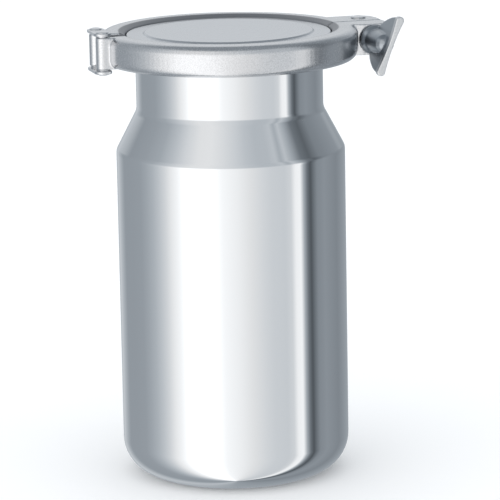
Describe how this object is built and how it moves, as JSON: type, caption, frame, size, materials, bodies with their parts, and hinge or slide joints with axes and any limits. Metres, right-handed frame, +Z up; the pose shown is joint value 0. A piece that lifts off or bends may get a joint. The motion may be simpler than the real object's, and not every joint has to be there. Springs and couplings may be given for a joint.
{
  "type": "milk can",
  "caption": "Round stainless can with a conical shoulder and short neck, closed by a flat lid that a hinged ring clamp with a swing bolt and wing nut holds down.",
  "frame": {"origin": "centre of the flat base", "axes": "+Z up the can's axis; +X towards the clamp's swing bolt, -X towards its hinge; -Y towards the wing nut's side"},
  "size_m": [0.1637, 0.1394, 0.2527],
  "materials": {
    "polished_can": "buffed to a mirror",
    "satin_lid": "satin, machine polished",
    "cast_clamp": "cast and vibration polished, fine grain",
    "cast_nut": "cast and tumbled",
    "pressed_link": "pressed and tumbled",
    "turned_fastener": "turned, bright",
    "gasket_rubber": "matt silicone rubber"
  },
  "bodies": {
    "can": {"can_shell": "polished_can", "neck_ferrule": "polished_can"},
    "lid": {"lid": "satin_lid"},
    "gasket": {"lid_gasket": "gasket_rubber"},
    "rear_half": {"rear_clamp_half": "cast_clamp", "swing_bolt_pin": "turned_fastener"},
    "hinge_link": {"hinge_link_upper": "pressed_link", "hinge_link_lower": "pressed_link", "front_hinge_pin": "turned_fastener", "rear_hinge_pin": "turned_fastener"},
    "front_half": {"front_clamp_half": "cast_clamp"},
    "swing_bolt": {"swing_bolt": "turned_fastener"},
    "nut_washer": {"nut_washer": "turned_fastener"},
    "wing_nut": {"wing_nut": "cast_nut"}
  },
  "joints": [
    {"name": "lid_lift", "type": "slide", "parent": "can", "child": "lid", "axis": [0, 0, 1], "range_m": [0, 0.14]},
    {"name": "gasket_lift", "type": "slide", "parent": "can", "child": "gasket", "axis": [0, 0, 1], "range_m": [0, 0.112]},
    {"name": "clamp_turn", "type": "hinge", "parent": "can", "child": "rear_half", "pos_m": [0, 0, 0.237], "axis": [0, 0, 1], "continuous": true},
    {"name": "link_swing", "type": "hinge", "parent": "rear_half", "child": "hinge_link", "pos_m": [-0.072, 0.0075, 0.237], "axis": [0, 0, -1], "range_deg": [0, 104]},
    {"name": "front_half_swing", "type": "hinge", "parent": "hinge_link", "child": "front_half", "pos_m": [-0.072, -0.0075, 0.237], "axis": [0, 0, -1], "range_deg": [0, 104]},
    {"name": "bolt_swing", "type": "hinge", "parent": "rear_half", "child": "swing_bolt", "pos_m": [0.0775, 0.0115, 0.237], "axis": [0, 0, 1], "range_deg": [0, 100]},
    {"name": "nut_travel", "type": "slide", "parent": "swing_bolt", "child": "nut_washer", "axis": [0, -1, 0], "range_m": [0, 0.0075]},
    {"name": "nut_turn", "type": "hinge", "parent": "nut_washer", "child": "wing_nut", "pos_m": [0.0775, -0.03, 0.237], "axis": [0, -1, 0], "range_deg": [0, 2160]}
  ],
  "couplings": [
    {"joint": "gasket_lift", "follows": "lid_lift", "ratio": 0.8},
    {"joint": "nut_travel", "follows": "nut_turn", "m_per_rad": 0.00019894}
  ]
}
